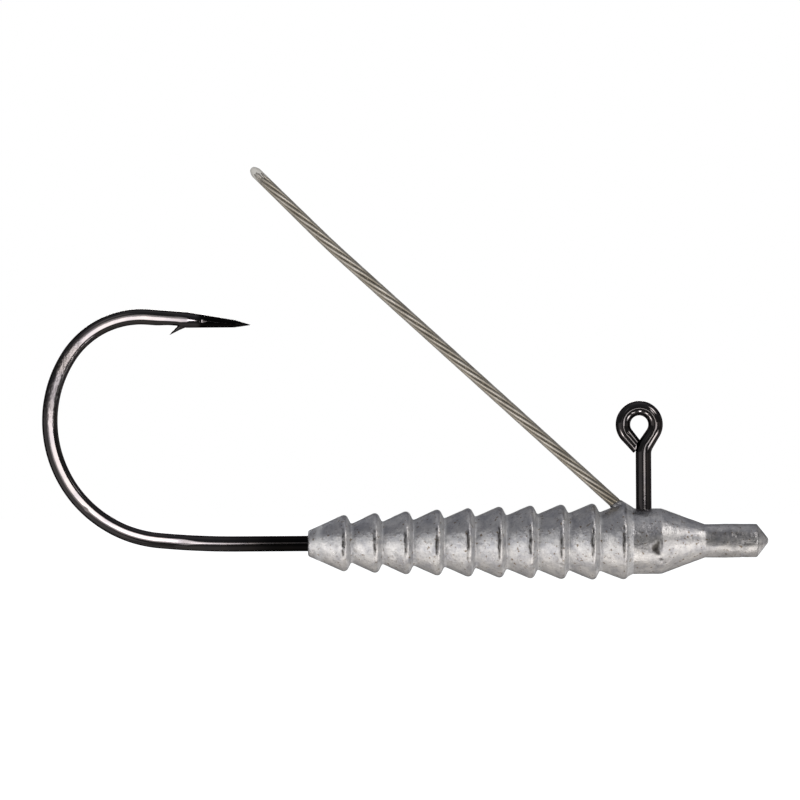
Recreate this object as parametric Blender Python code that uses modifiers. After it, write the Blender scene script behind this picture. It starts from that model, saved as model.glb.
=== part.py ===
"""Weedless jig: a ribbed lead casting on a forged hook, with a stranded cable guard.

Metres, +Z up, +X toward the nose. The hook lies in the XZ plane, and the origin is
the middle of the line-tie eye.
"""

from math import asin, ceil, cos, pi, radians, sin, tan

import bmesh
import bpy
from mathutils import Matrix, Vector

# Hook wire
WIRE_DIAMETER = 0.00148
WIRE_SIDES_STEP = 6             # bevel resolution: 4 + 2 * 6 = 16 sides
BODY_AXIS_DROP = 0.0111         # eye centre down to the shank's and the casting's axis

# Line-tie eye and neck
EYE_HOLE_DIAMETER = 0.00171
EYE_WIRE_DIAMETER = 0.00139
EYE_NECK_OFFSET = 0.00038       # neck ahead of the eye's middle
EYE_NECK_ANGLE = radians(33)    # where the loop leaves its circle for the neck
EYE_ARM_ANGLE = radians(140)    # the same for the short cut arm, on the other side
NECK_SWEEP_RADIUS = 0.0019
NECK_BEND_RADIUS = 0.0019       # square bend inside the casting
ARM_END_DIAMETER = 0.00126
EYE_CLOSING_GAP = 0.00005       # between the cut arm and the neck

# Bend and point
SHANK_LENGTH = 0.03847          # neck back to where the wire starts to turn
LEAD_IN_RADIUS = 0.078
LEAD_IN_TURN = radians(5.6)
MAIN_BEND_RADIUS = 0.0114
MAIN_BEND_TURN = radians(117)
UPPER_BEND_RADIUS = 0.0082
UPPER_BEND_TURN = radians(62.2)
POINT_LEG_LENGTH = 0.00975
TAPER_LENGTH = 0.006
SPEAR_LENGTH = 0.00145
SPEAR_DIAMETER = 0.00071
POINT_DIAMETER = 0.00005
FORGED_THICKNESS = 0.00118      # flats pressed on both sides of the bend
FORGE_START = 0.0033            # bend side of the shank's end, no flat yet
FORGE_FADE = 0.0032

# Barb, measured back from the point and out from the leg's axis
BARB_ROOT = 0.0061
BARB_LENGTH = 0.0015
BARB_RISE = 0.0008              # tip above the wire's side
BARB_THICKNESS = 0.00028
BARB_WIDTH = 0.00062
BARB_CUT_DEPTH = 0.00012
BARB_SEAT = 0.0002              # how deep the sliver is rooted in the wire

# Ribbed casting, places measured along the axis from the neck
RIB_COUNT = 10
RIB_PITCH = 0.00295
LAST_CREST = -0.00197
FIRST_CREST_RADIUS = 0.00267
LARGEST_CREST_RADIUS = 0.00361
LARGEST_RIB = 8                 # the ribs behind it taper to the tail
TAPER_BULGE = 0.5               # 0 for a straight taper
GROOVE_DEPTH = 0.00079
CREST_ROUNDING = 0.00046
RIB_FRONT_ANGLE = radians(64)
GROOVE_FLOOR = 0.00014
TAIL_LENGTH = 0.0034            # first crest back to the tail face
TAIL_EDGE_RADIUS = 0.00125
TAIL_ROUNDING = 0.0002
HEAD_RADIUS = 0.00311
HEAD_START = -0.0011
HEAD_END = 0.00164
SHOULDER_ROUNDING = 0.0006
CONE_ANGLE = radians(20.2)
PIN_RADIUS = 0.00158
PIN_CROWN = 0.00003
PIN_END = 0.01072
PIN_TIP_ANGLE = radians(52)
PIN_TIP_FLAT = 0.00018
CASTING_SEGMENTS = 36
CASTING_GAP = 0.00003           # shrinkage gap between the lead and the hook wire

# Cable guard
GUARD_ANGLE = radians(42.5)
GUARD_MOUTH_BACK = 0.00273      # collar mouth behind the neck
GUARD_MOUTH_RADIUS = 0.00366    # collar mouth above the casting's axis
GUARD_LENGTH = 0.0468
GUARD_TIP_LENGTH = 0.0085       # straight stretch past the set bend
GUARD_SET_LENGTH = 0.0034       # short stretch that has taken a set bend
GUARD_SET_ANGLE = radians(2.3)
GUARD_SET_STEPS = 3
COATING_DIAMETER = 0.0011
COATING_WALL = 0.00006
COATING_SIDES_STEP = 6
STRAND_COUNT = 6
STRAND_LAY = 0.0117
STRAND_GAP = 0.000016
STRAND_STEPS = 12               # points on one turn of a strand
TIP_SET_BACK = 0.00005          # strand ends inside the coating's cut end
SOCKET_DEPTH = 0.0019
SOCKET_GAP = 0.00004
SOCKET_FLOOR_GAP = 0.0001
FLEX_POINT = 0.00035            # along the cable from the mouth, where it starts to bend
FLEX_GAP = 0.0002

# Collar that holds the guard
COLLAR_WALL = 0.00012
COLLAR_TAPER = radians(6.2)
COLLAR_MOUTH_TILT = radians(18)
COLLAR_DEPTH = 0.0024
COLLAR_SEGMENTS = 24

WELD = 1e-7
OBJECT_NAME = "ribbed_jig"

WIRE_RADIUS = WIRE_DIAMETER / 2
EYE_WIRE_RADIUS = EYE_WIRE_DIAMETER / 2
EYE_RADIUS = EYE_HOLE_DIAMETER / 2 + EYE_WIRE_RADIUS
COATING_RADIUS = COATING_DIAMETER / 2
COATING_BORE_RADIUS = COATING_RADIUS - COATING_WALL
# Six wires round one of their own size: bore = 3 wire radii and the gaps between them.
STRAND_RADIUS = (COATING_BORE_RADIUS - 3 * STRAND_GAP) / 3
STRAND_CIRCLE = 2 * STRAND_RADIUS + 1.5 * STRAND_GAP
SOCKET_RADIUS = COATING_RADIUS + SOCKET_GAP
COLLAR_MOUTH_OUTER = COATING_RADIUS + COLLAR_WALL

GUARD_DIRECTION = Vector((-cos(GUARD_ANGLE), 0, sin(GUARD_ANGLE)))
GUARD_MOUTH = Vector((EYE_NECK_OFFSET - GUARD_MOUTH_BACK, 0, GUARD_MOUTH_RADIUS - BODY_AXIS_DROP))


# ---------------------------------------------------------------- scene and helpers


def clear_scene():
    for obj in list(bpy.data.objects):
        bpy.data.objects.remove(obj, do_unlink=True)
    for collection in list(bpy.data.collections):
        bpy.data.collections.remove(collection)


def new_collection(name):
    collection = bpy.data.collections.new(name)
    bpy.context.scene.collection.children.link(collection)
    return collection


def new_material(name, color, metallic, roughness, transmission=0.0):
    material = bpy.data.materials.new(name)
    material.use_nodes = True
    shader = material.node_tree.nodes["Principled BSDF"]
    shader.inputs["Base Color"].default_value = (*color, 1)
    shader.inputs["Metallic"].default_value = metallic
    shader.inputs["Roughness"].default_value = roughness
    shader.inputs["Transmission Weight"].default_value = transmission
    return material


def add_object(name, data, collection, material=None):
    obj = bpy.data.objects.new(name, data)
    collection.objects.link(obj)
    if material:
        data.materials.append(material)
    return obj


def hide_cutter(obj):
    obj.hide_render = True
    obj.display_type = "WIRE"


def smooth_shading(obj, angle=radians(35)):
    obj.data.shade_smooth()
    obj.data.set_sharp_from_angle(angle=angle)


def mesh_from(obj):
    """The evaluated mesh of a curve, with its caps welded, in place of the curve."""
    depsgraph = bpy.context.evaluated_depsgraph_get()
    mesh = bpy.data.meshes.new_from_object(obj.evaluated_get(depsgraph))
    work = bmesh.new()
    work.from_mesh(mesh)
    bmesh.ops.remove_doubles(work, verts=work.verts, dist=WELD)
    bmesh.ops.recalc_face_normals(work, faces=work.faces)
    work.to_mesh(mesh)
    work.free()
    return mesh


def tube(name, points, radii, sides_step, collection, material=None):
    """A closed tube along points, with 4 + 2 * sides_step sides."""
    curve = bpy.data.curves.new(name + "_path", "CURVE")
    curve.dimensions = "3D"
    curve.bevel_depth = 1.0
    curve.bevel_resolution = sides_step
    curve.use_fill_caps = True
    curve.twist_mode = "MINIMUM"
    curve.render_resolution_u = 0
    spline = curve.splines.new("POLY")
    spline.points.add(len(points) - 1)
    for target, point, radius in zip(spline.points, points, radii):
        target.co = (*point, 1)
        target.radius = radius
    path = bpy.data.objects.new(name + "_path", curve)
    collection.objects.link(path)
    mesh = mesh_from(path)
    matrix = path.matrix_world.copy()
    bpy.data.objects.remove(path, do_unlink=True)
    mesh.name = name
    obj = add_object(name, mesh, collection, material)
    obj.matrix_world = matrix
    return obj


def flat_outline(name, points, thickness, collection):
    """A flat outline in the XZ plane, thickness wide along Y."""
    curve = bpy.data.curves.new(name + "_path", "CURVE")
    curve.dimensions = "2D"
    curve.fill_mode = "BOTH"
    curve.extrude = thickness / 2
    curve.render_resolution_u = 0
    spline = curve.splines.new("POLY")
    spline.points.add(len(points) - 1)
    for target, point in zip(spline.points, points):
        target.co = (point.x, point.z, 0, 1)
    spline.use_cyclic_u = True
    path = bpy.data.objects.new(name + "_path", curve)
    path.rotation_euler = (pi / 2, 0, 0)
    collection.objects.link(path)
    bpy.context.view_layer.update()
    mesh = mesh_from(path)
    matrix = path.matrix_world.copy()
    bpy.data.objects.remove(path, do_unlink=True)
    mesh.name = name
    obj = add_object(name, mesh, collection)
    obj.matrix_world = matrix
    return obj


def turned(name, profile, segments, collection, material=None):
    """A turned solid: profile is (along, radius) pairs from the top end to the bottom."""
    mesh = bpy.data.meshes.new(name)
    vertices = [(radius, 0, along) for along, radius in profile]
    edges = [(i, i + 1) for i in range(len(vertices) - 1)]
    mesh.from_pydata(vertices, edges, [])
    obj = add_object(name, mesh, collection, material)
    screw = obj.modifiers.new("turn", "SCREW")
    screw.axis = "Z"
    screw.steps = segments
    screw.render_steps = segments
    screw.use_merge_vertices = True
    screw.merge_threshold = WELD
    screw.use_smooth_shade = True
    return obj


def align_z(obj, direction, origin):
    """Turns obj so that its local Z runs along direction, from origin."""
    turn = Vector((0, 0, 1)).rotation_difference(direction).to_matrix().to_4x4()
    obj.matrix_world = Matrix.Translation(origin) @ turn


def boolean(obj, operation, other):
    modifier = obj.modifiers.new(operation.lower() + "_" + other.name, "BOOLEAN")
    modifier.operation = operation
    modifier.solver = "EXACT"
    modifier.object = other


def ease(value):
    value = min(max(value, 0), 1)
    return value * value * (3 - 2 * value)


# ---------------------------------------------------------------- hook


class Route:
    """A plane route in XZ made of straights and arcs, with a wire radius at each point."""

    def __init__(self, start, heading, radius):
        self.points = [start.copy()]
        self.radii = [radius]
        self.heading = heading
        self.radius = radius

    @property
    def end(self):
        return self.points[-1]

    @property
    def direction(self):
        return Vector((cos(self.heading), 0, sin(self.heading)))

    def add(self, point, radius):
        self.points.append(point)
        self.radii.append(radius)
        self.radius = radius

    def straight(self, length, radius=None):
        self.add(self.end + self.direction * length, radius or self.radius)

    def arc(self, bend_radius, turn, steps, radius=None):
        """Turns left by turn, or right where turn is negative."""
        side = 1 if turn > 0 else -1
        first_radius = self.radius
        last_radius = radius or self.radius
        normal = Vector((-sin(self.heading), 0, cos(self.heading))) * side
        centre = self.end + normal * bend_radius
        start_heading = self.heading
        for step in range(1, steps + 1):
            self.heading = start_heading + turn * step / steps
            normal = Vector((-sin(self.heading), 0, cos(self.heading))) * side
            share = step / steps
            self.add(centre - normal * bend_radius, first_radius + (last_radius - first_radius) * share)


def neck_sweep_drop():
    """How far below the eye's middle the neck becomes straight."""
    return EYE_RADIUS * sin(EYE_NECK_ANGLE) + neck_lean_length() * cos(EYE_NECK_ANGLE) + (
        NECK_SWEEP_RADIUS * sin(EYE_NECK_ANGLE)
    )


def neck_lean_length():
    """The leaning straight between the loop and the neck's sweep."""
    sideways = EYE_RADIUS * cos(EYE_NECK_ANGLE) - EYE_NECK_OFFSET
    return (sideways - NECK_SWEEP_RADIUS * (1 - cos(EYE_NECK_ANGLE))) / sin(EYE_NECK_ANGLE)


def lower_route():
    """From the shank's end forward through the casting and up the neck."""
    start = Vector((EYE_NECK_OFFSET - SHANK_LENGTH, 0, -BODY_AXIS_DROP))
    route = Route(start, 0, WIRE_RADIUS)
    route.straight(SHANK_LENGTH - NECK_BEND_RADIUS)
    route.arc(NECK_BEND_RADIUS, pi / 2, 6)
    route.straight(BODY_AXIS_DROP - NECK_BEND_RADIUS - neck_sweep_drop())
    return route


def eye_closing_plane():
    """Centre, normal and distance of the plane that the cut arm stops at."""
    centre = Vector((EYE_NECK_OFFSET + NECK_SWEEP_RADIUS, 0, -neck_sweep_drop()))
    angle = pi - EYE_NECK_ANGLE / 2
    normal = Vector((cos(angle), 0, sin(angle)))
    return centre, normal, NECK_SWEEP_RADIUS + WIRE_RADIUS + EYE_CLOSING_GAP


def eye_route(route):
    """Carries the route round the loop, to the arm that is cut off against the neck."""
    route.arc(NECK_SWEEP_RADIUS, -EYE_NECK_ANGLE, 3)
    route.straight(neck_lean_length(), EYE_WIRE_RADIUS)
    route.arc(EYE_RADIUS, 2 * pi + EYE_NECK_ANGLE - EYE_ARM_ANGLE, 16)
    centre, normal, distance = eye_closing_plane()
    length = (distance - (route.end - centre).dot(normal)) / route.direction.dot(normal)
    route.straight(length, ARM_END_DIAMETER / 2)
    return route


def bend_route():
    """From the shank's end back round the bend and out to the point."""
    start = Vector((EYE_NECK_OFFSET - SHANK_LENGTH, 0, -BODY_AXIS_DROP))
    route = Route(start, pi, WIRE_RADIUS)
    route.arc(LEAD_IN_RADIUS, -LEAD_IN_TURN, 2)
    route.arc(MAIN_BEND_RADIUS, -MAIN_BEND_TURN, 14)
    route.arc(UPPER_BEND_RADIUS, -UPPER_BEND_TURN, 8)
    route.straight(POINT_LEG_LENGTH - TAPER_LENGTH)
    route.straight(TAPER_LENGTH - SPEAR_LENGTH, SPEAR_DIAMETER / 2)
    route.straight(SPEAR_LENGTH, POINT_DIAMETER / 2)
    return route


def cut_arm_end(obj, route):
    """Slides the arm's end ring along the arm onto the closing plane."""
    centre, normal, distance = eye_closing_plane()
    for vertex in obj.data.vertices:
        along = (vertex.co - route.end).dot(route.direction)
        if abs(along) < WELD * 10 and (vertex.co - route.end).length < WIRE_RADIUS * 1.5:
            miss = distance - (vertex.co - centre).dot(normal)
            vertex.co += route.direction * (miss / route.direction.dot(normal))


def press_flats(obj):
    """Forges both sides of the bend flat, fading in behind the shank."""
    start = EYE_NECK_OFFSET - SHANK_LENGTH - FORGE_START
    for vertex in obj.data.vertices:
        share = ease((start - vertex.co.x) / FORGE_FADE)
        limit = WIRE_RADIUS - (WIRE_RADIUS - FORGED_THICKNESS / 2) * share
        vertex.co.y = max(-limit, min(limit, vertex.co.y))


def barb_shapes(route, cutters):
    """The raised sliver, and the cut under it that it was raised from."""
    back = -route.direction
    inward = Vector((-sin(route.heading), 0, cos(route.heading))) * -1

    def place(along, out):
        return route.end + back * along + inward * out

    tip = BARB_ROOT + BARB_LENGTH
    side = WIRE_RADIUS
    middle = (BARB_ROOT + tip) / 2
    sliver = [
        place(BARB_ROOT, side - BARB_SEAT),
        place(BARB_ROOT, side),
        place(middle, side + BARB_RISE * 0.4),
        place(tip, side + BARB_RISE),
        place(tip - BARB_THICKNESS, side + BARB_RISE * 0.45),
        place(middle + BARB_THICKNESS / 2, side + BARB_RISE * 0.4 - BARB_THICKNESS * 1.7),
        place(middle, side - BARB_SEAT),
    ]
    cut = [
        place(middle, side - BARB_CUT_DEPTH),
        place(tip + BARB_THICKNESS, side - BARB_CUT_DEPTH / 4),
        place(tip + BARB_THICKNESS, side + BARB_RISE),
        place(middle, side + BARB_RISE),
    ]
    barb = flat_outline("barb_sliver", sliver, BARB_WIDTH, cutters)
    notch = flat_outline("barb_notch", cut, WIRE_DIAMETER * 1.5, cutters)
    return barb, notch


def make_hook(parts, cutters, material):
    bend = bend_route()
    front = eye_route(lower_route())
    points = list(reversed(bend.points)) + front.points[1:]
    radii = list(reversed(bend.radii)) + front.radii[1:]
    hook = tube("hook", points, radii, WIRE_SIDES_STEP, parts, material)
    cut_arm_end(hook, front)
    press_flats(hook)
    barb, notch = barb_shapes(bend, cutters)
    for obj, operation in ((notch, "DIFFERENCE"), (barb, "UNION")):
        hide_cutter(obj)
        boolean(hook, operation, obj)
    smooth_shading(hook)
    return hook


# ---------------------------------------------------------------- guard cable


def guard_frame(along):
    """Middle, direction and in-plane normal of the cable, along from the collar's mouth."""
    bend_end = GUARD_LENGTH - GUARD_TIP_LENGTH
    bend_start = bend_end - GUARD_SET_LENGTH
    bend_radius = GUARD_SET_LENGTH / GUARD_SET_ANGLE
    turn = (min(max(along, bend_start), bend_end) - bend_start) / bend_radius
    angle = GUARD_ANGLE + turn
    direction = Vector((-cos(angle), 0, sin(angle)))
    normal = Vector((sin(angle), 0, cos(angle)))
    up = Vector((sin(GUARD_ANGLE), 0, cos(GUARD_ANGLE)))
    middle = GUARD_MOUTH + GUARD_DIRECTION * (min(along, bend_start) + bend_radius * sin(turn))
    middle = middle + up * (bend_radius * (1 - cos(turn))) + direction * max(along - bend_end, 0)
    return middle, direction, normal


def guard_stations(start, end):
    """Places along the cable: its ends, and even steps on the bent stretch."""
    stations = [start]
    bend_start = GUARD_LENGTH - GUARD_TIP_LENGTH - GUARD_SET_LENGTH
    for i in range(GUARD_SET_STEPS + 1):
        place = bend_start + GUARD_SET_LENGTH * i / GUARD_SET_STEPS
        if start < place < end:
            stations.append(place)
    return stations + [end]


def guard_tube(name, start, end, radius, collection, material=None):
    stations = guard_stations(start, end)
    points = [guard_frame(place)[0] for place in stations]
    return tube(name, points, [radius] * len(points), COATING_SIDES_STEP, collection, material)


def strand_points(index, start, end):
    """A left-hand helix round the cable's middle."""
    count = max(ceil((end - start) / STRAND_LAY * STRAND_STEPS), 2)
    points = []
    for i in range(count + 1):
        along = start + (end - start) * i / count
        middle, direction, normal = guard_frame(along)
        angle = 2 * pi * (index / STRAND_COUNT - along / STRAND_LAY)
        side = direction.cross(normal)
        points.append(middle + normal * (STRAND_CIRCLE * cos(angle)) + side * (STRAND_CIRCLE * sin(angle)))
    return points


def make_coating(name, start, end, parts, cutters, material):
    coating = guard_tube(name, start, end, COATING_RADIUS, parts, material)
    margin = COATING_WALL
    bore = guard_tube(name + "_bore", start - margin, end + margin, COATING_BORE_RADIUS, cutters)
    hide_cutter(bore)
    boolean(coating, "DIFFERENCE", bore)
    smooth_shading(coating)


def make_cable(prefix, start, end, set_back, parts, cutters, materials):
    """Coating, core and strands of one stretch of the cable."""
    clear, steel = materials
    make_coating(prefix + "coating", start, end, parts, cutters, clear)
    wire_end = end - set_back
    core = guard_tube(prefix + "core_wire", start, wire_end, STRAND_RADIUS, parts, steel)
    smooth_shading(core)
    for index in range(STRAND_COUNT):
        points = strand_points(index, start, wire_end)
        name = f"{prefix}wire_{index + 1}"
        strand = tube(name, points, [STRAND_RADIUS] * len(points), 1, parts, steel)
        smooth_shading(strand, radians(70))


def hang_on_flex_point(parts):
    """Gives the free cable's pieces an empty parent at the point where it bends."""
    pivot = bpy.data.objects.new("guard_flex_point", None)
    pivot.empty_display_size = COATING_DIAMETER
    pivot.location = guard_frame(FLEX_POINT)[0]
    parts.objects.link(pivot)
    bpy.context.view_layer.update()
    for obj in parts.objects:
        if obj.name.startswith("guard_") and obj != pivot:
            world = obj.matrix_world.copy()
            obj.parent = pivot
            obj.matrix_parent_inverse = pivot.matrix_world.inverted()
            obj.matrix_world = world


# ---------------------------------------------------------------- lead casting


def crest_radius(index):
    """Crest radius of rib index, 0 at the tail, up to the largest rib."""
    share = min(index / LARGEST_RIB, 1)
    share += TAPER_BULGE * share * (1 - share)
    return FIRST_CREST_RADIUS + (LARGEST_CREST_RADIUS - FIRST_CREST_RADIUS) * share


def arc_points(centre_along, centre_radius, rounding, first, last, steps):
    """Points on a profile's arc; angles run from straight out, positive toward the nose."""
    points = []
    for i in range(steps + 1):
        angle = first + (last - first) * i / steps
        points.append((centre_along + rounding * sin(angle), centre_radius + rounding * cos(angle)))
    return points


def flank_angle(rise, run, rounding):
    """Slope of the line from a point that is tangent to a round rise above and run ahead."""
    distance = (rise * rise + run * run) ** 0.5
    return asin(rise / distance) + asin(rounding / distance)


def rib_profile():
    """Ribs from the nose end to the tail: front face, round crest, flank, groove."""
    points = []
    for index in reversed(range(RIB_COUNT)):
        crest = LAST_CREST - RIB_PITCH * (RIB_COUNT - 1 - index)
        radius = crest_radius(index)
        centre_radius = radius - CREST_ROUNDING
        if index:
            floor_radius = crest_radius(index - 1) - GROOVE_DEPTH
            floor_along = groove_place(index - 1) + GROOVE_FLOOR
        else:
            floor_radius = TAIL_EDGE_RADIUS
            floor_along = crest - TAIL_LENGTH + TAIL_ROUNDING
        slope = flank_angle(centre_radius - floor_radius, crest - floor_along, CREST_ROUNDING)
        points += arc_points(crest, centre_radius, CREST_ROUNDING, RIB_FRONT_ANGLE, -slope, 3)
        if index:
            points.append((floor_along, floor_radius))
            points.append((groove_place(index - 1), floor_radius))
    return points


def groove_place(index):
    """Where the front face of rib index meets the groove's floor."""
    crest = LAST_CREST - RIB_PITCH * (RIB_COUNT - 1 - index)
    drop = GROOVE_DEPTH - CREST_ROUNDING * (1 - cos(RIB_FRONT_ANGLE))
    return crest + CREST_ROUNDING * sin(RIB_FRONT_ANGLE) + drop / tan(RIB_FRONT_ANGLE)


def nose_profile():
    """Pin with its pointed end, cone and head, from the tip back."""
    tip = PIN_END + (PIN_RADIUS - PIN_TIP_FLAT) / tan(PIN_TIP_ANGLE)
    cone_end = HEAD_END + (HEAD_RADIUS - PIN_RADIUS) / tan(CONE_ANGLE)
    pin_middle = (PIN_END + cone_end) / 2
    points = [
        (tip + PIN_TIP_FLAT / 3, 0),
        (tip, PIN_TIP_FLAT),
        (PIN_END, PIN_RADIUS),
        (pin_middle, PIN_RADIUS + PIN_CROWN),
        (cone_end, PIN_RADIUS),
    ]
    reach = SHOULDER_ROUNDING * tan(CONE_ANGLE / 2) * 2
    shoulder = [
        (HEAD_END + reach, HEAD_RADIUS - reach * tan(CONE_ANGLE)),
        (HEAD_END, HEAD_RADIUS - reach * tan(CONE_ANGLE) / 4),
        (HEAD_END - reach, HEAD_RADIUS),
    ]
    return points + shoulder + [(HEAD_START, HEAD_RADIUS)]


def tail_profile():
    """Edge and face of the tail, down to the axis."""
    tail = LAST_CREST - RIB_PITCH * (RIB_COUNT - 1) - TAIL_LENGTH
    return [
        (tail + TAIL_ROUNDING, TAIL_EDGE_RADIUS),
        (tail + TAIL_ROUNDING / 4, TAIL_EDGE_RADIUS - TAIL_ROUNDING / 2),
        (tail, TAIL_EDGE_RADIUS - TAIL_ROUNDING * 1.3),
        (tail, 0),
    ]


def make_collar(cutters):
    """Tapered boss on the cable's own axis, trimmed at its leaning mouth."""
    proud = COLLAR_MOUTH_OUTER
    deep_radius = COLLAR_MOUTH_OUTER + COLLAR_DEPTH * tan(COLLAR_TAPER)
    top_radius = COLLAR_MOUTH_OUTER - proud * tan(COLLAR_TAPER)
    profile = [(proud, 0), (proud, top_radius), (-COLLAR_DEPTH, deep_radius), (-COLLAR_DEPTH, 0)]
    collar = turned("collar_boss", profile, COLLAR_SEGMENTS, cutters)
    align_z(collar, GUARD_DIRECTION, GUARD_MOUTH)
    trim = add_box("collar_mouth_trim", 4 * COLLAR_MOUTH_OUTER, cutters)
    lean = Matrix.Rotation(COLLAR_MOUTH_TILT, 4, "Y")
    face = (lean @ GUARD_DIRECTION).normalized()
    align_z(trim, face, GUARD_MOUTH + face * (2 * COLLAR_MOUTH_OUTER))
    boolean(collar, "DIFFERENCE", trim)
    return collar


def add_box(name, size, collection):
    mesh = bpy.data.meshes.new(name)
    work = bmesh.new()
    bmesh.ops.create_cube(work, size=size)
    work.to_mesh(mesh)
    work.free()
    obj = add_object(name, mesh, collection)
    hide_cutter(obj)
    return obj


def make_wire_channel(cutters):
    """The hook's own route through the lead, wider by the casting gap."""
    route = lower_route()
    radius = WIRE_RADIUS + CASTING_GAP
    return tube("wire_channel", route.points, [radius] * len(route.points), WIRE_SIDES_STEP, cutters)


def make_socket(cutters):
    stations = [-SOCKET_DEPTH, 2 * COLLAR_MOUTH_OUTER]
    points = [GUARD_MOUTH + GUARD_DIRECTION * place for place in stations]
    return tube("guard_socket", points, [SOCKET_RADIUS] * 2, COATING_SIDES_STEP, cutters)


def make_casting(parts, cutters, material):
    profile = nose_profile() + rib_profile() + tail_profile()
    casting = turned("lead_body", profile, CASTING_SEGMENTS, parts, material)
    align_z(casting, Vector((1, 0, 0)), Vector((EYE_NECK_OFFSET, 0, -BODY_AXIS_DROP)))
    steps = (
        ("UNION", make_collar(cutters)),
        ("DIFFERENCE", make_wire_channel(cutters)),
        ("DIFFERENCE", make_socket(cutters)),
    )
    for operation, other in steps:
        hide_cutter(other)
        boolean(casting, operation, other)
    return casting


# ---------------------------------------------------------------- whole part


def build():
    clear_scene()
    parts = new_collection(OBJECT_NAME)
    cutters = new_collection("cutters")
    black_nickel = new_material("black_nickel", (0.05, 0.048, 0.05), 1.0, 0.18)
    cast_lead = new_material("cast_lead", (0.42, 0.42, 0.43), 0.85, 0.42)
    clear_nylon = new_material("clear_nylon", (0.8, 0.77, 0.7), 0.0, 0.2, 0.9)
    bright_steel = new_material("bright_steel", (0.56, 0.53, 0.47), 1.0, 0.3)
    cable = (clear_nylon, bright_steel)
    make_hook(parts, cutters, black_nickel)
    make_casting(parts, cutters, cast_lead)
    make_cable("guard_", FLEX_POINT, GUARD_LENGTH, TIP_SET_BACK, parts, cutters, cable)
    held_start = SOCKET_FLOOR_GAP - SOCKET_DEPTH
    make_cable("anchored_", held_start, FLEX_POINT - FLEX_GAP, 0, parts, cutters, cable)
    hang_on_flex_point(parts)


build()
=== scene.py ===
"""Looks for the ribbed jig: a cast skin, a plated hook wire and a coated cable.

Metres, in the CAD's frame: +X toward the nose, +Z up, origin in the middle of the eye.
"""

import random
from math import asin, atan2, ceil, cos, pi, radians, sin, sqrt, tan

import bmesh
import bpy
import numpy as np
from mathutils import Matrix, Vector, noise


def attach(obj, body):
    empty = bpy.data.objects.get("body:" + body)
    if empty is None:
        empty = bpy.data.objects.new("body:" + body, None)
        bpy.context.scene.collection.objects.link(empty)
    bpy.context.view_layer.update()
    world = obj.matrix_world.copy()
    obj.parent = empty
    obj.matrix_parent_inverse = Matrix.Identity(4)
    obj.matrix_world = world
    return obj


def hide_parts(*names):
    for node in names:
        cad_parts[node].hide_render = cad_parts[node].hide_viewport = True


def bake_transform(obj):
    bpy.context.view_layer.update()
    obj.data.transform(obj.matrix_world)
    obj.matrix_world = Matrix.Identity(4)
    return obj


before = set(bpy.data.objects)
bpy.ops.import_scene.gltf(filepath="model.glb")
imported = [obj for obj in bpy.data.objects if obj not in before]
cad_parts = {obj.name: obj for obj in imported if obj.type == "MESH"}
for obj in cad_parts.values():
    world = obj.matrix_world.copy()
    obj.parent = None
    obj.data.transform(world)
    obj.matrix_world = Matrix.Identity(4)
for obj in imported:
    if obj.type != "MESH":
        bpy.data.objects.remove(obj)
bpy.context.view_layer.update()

# The hook wire, as in the CAD
WIRE_RADIUS = 0.00074
EYE_WIRE_RADIUS = 0.000695
EYE_RADIUS = 0.00155
AXIS_DROP = 0.0111
NECK_OFFSET = 0.00038
NECK_ANGLE = radians(33)
ARM_ANGLE = radians(140)
ARM_END_RADIUS = 0.00063
ARM_CLOSING_GAP = 0.00003       # between the cut arm's axis end and the neck
ARM_CONTACT_GAP = 0.00001       # between the arm's lengthened edge and the neck
ARM_REACH = 0.00032             # the most that the arm's edge grows to meet the neck
ARM_SOFTNESS = 0.00012
ARM_RIM = 0.00003
ARM_RIM_SHARE = 0.08
NECK_SWEEP = 0.0019
NECK_BEND = 0.0019
SHANK_LENGTH = 0.03847
SHANK_SHOWN = 0.0075
LEAD_IN_RADIUS = 0.078
LEAD_IN_TURN = radians(5.6)
MAIN_BEND_RADIUS = 0.0114
MAIN_BEND_TURN = radians(117)
UPPER_BEND_RADIUS = 0.0082
UPPER_BEND_TURN = radians(62.2)
WIRE_SIDES = 72
# Spacing of the stations on the wire
SHANK_STEP = 0.0004
HIDDEN_STEP = 0.003
NECK_STEP = 0.00025
BEND_STEP = 0.0002
LOOP_STEP = 0.00012
LEG_STEP = 0.0001
# The bend is pressed flat on both sides: half its thickness, and how its faces roll off to the edges
FORGED_HALF = 0.00059
FORGED_SWELL = 0.00006          # thicker again at the top of the bend
OUTER_ROLL = 0.00022
OUTER_ROLL_START = 0.02
INNER_ROLL = 0.0009
INNER_ROLL_START = 0.34
ROUND_SHARE = 1.03
FLAT_SOFTNESS = 0.00004
# Small handling marks on the wire: x, z, size and depth
HOOK_MARKS = (
    (-0.0554, 0.0066, 0.00016, 0.00003),
    (-0.0556, 0.0061, 0.00013, 0.000035),
    (-0.0549, 0.0074, 0.00012, 0.00003),
    (-0.0526, -0.0077, 0.00013, 0.00003),
    (-0.0512, -0.0105, 0.00016, 0.00004),
    (-0.0415, 0.0101, 0.00022, 0.00005),
    (-0.0382, 0.0095, 0.00012, 0.00003),
    (-0.0003, -0.0022, 0.00011, 0.00004),
)
LEG_STATIONS = 120
FORGE_START = NECK_OFFSET - SHANK_LENGTH - 0.0033
FORGE_FADE = 0.0032
POINT_LEG = 0.00975
TAPER_LENGTH = 0.006
SPEAR_LENGTH = 0.00145
SPEAR_RADIUS = 0.000355
POINT_RADIUS = 0.00002
# The trough that the barb was raised from, measured back from the point
TROUGH_DEPTH = 0.00012
TROUGH_START = 0.0066
TROUGH_FALL = 0.0004
TROUGH_END = 0.0091
TROUGH_RISE = 0.0016
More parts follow.
